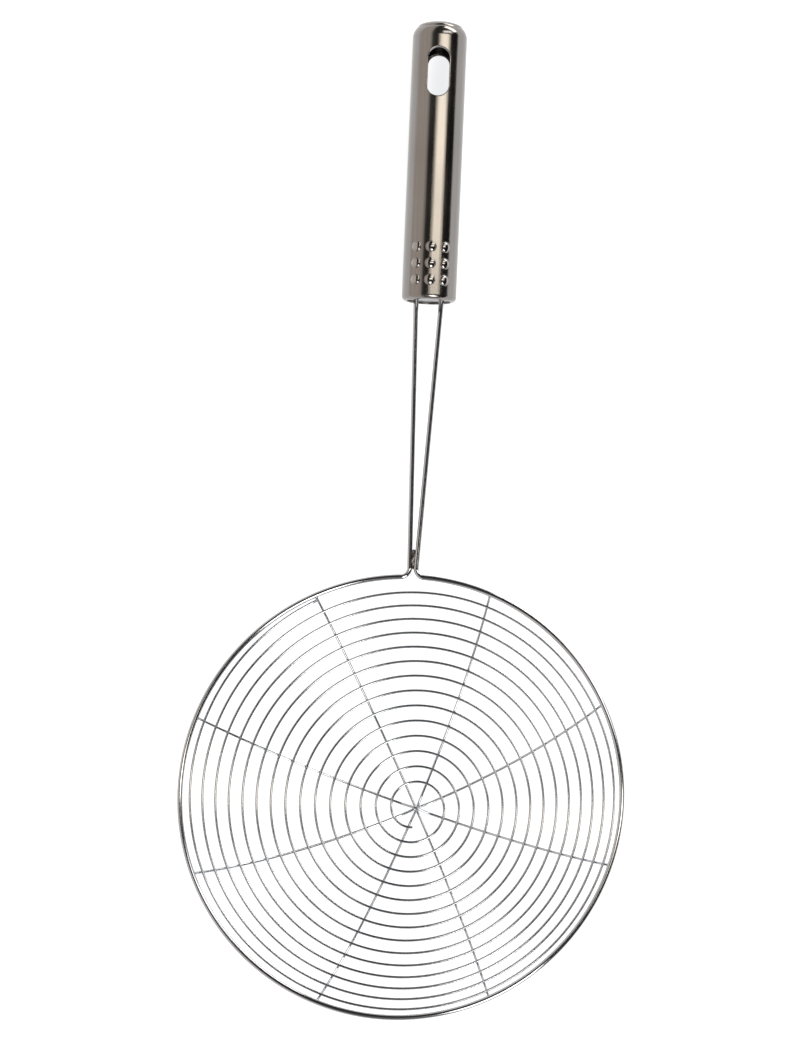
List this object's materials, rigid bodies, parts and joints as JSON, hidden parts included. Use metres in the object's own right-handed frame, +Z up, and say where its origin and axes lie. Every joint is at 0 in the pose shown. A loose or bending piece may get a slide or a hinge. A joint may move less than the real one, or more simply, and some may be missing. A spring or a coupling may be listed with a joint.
{
  "type": "spider skimmer",
  "caption": "Kitchen spider skimmer: shallow bowl of spiral wire on crossing spokes in a round rim, on wire legs with a hollow tube handle, domed cap and hanging slot.",
  "frame": {"origin": "on the table under the middle of the bounding box", "axes": "+X to the right, +Y along the handle towards its capped end, +Z up, out of the bowl"},
  "size_m": [0.165, 0.3738, 0.0515],
  "materials": {
    "frame_steel": "drawn stainless wire, bright",
    "wire_steel": "thin drawn stainless wire, bright, heat-tinted at the hub",
    "weld_steel": "heat-tinted weld",
    "handle_steel": "satin polished stainless tube",
    "plug_steel": "pressed stainless disc"
  },
  "bodies": {
    "root": {"frame_wire": "frame_steel", "neck_weld": "weld_steel", "spoke_wire_1": "wire_steel", "spoke_wire_2": "wire_steel", "spoke_wire_3": "wire_steel", "spoke_wire_4": "wire_steel", "spiral_wire": "wire_steel", "handle_tube": "handle_steel", "handle_cap": "handle_steel", "handle_plug": "plug_steel", "leg_welds": "weld_steel"}
  },
  "joints": []
}
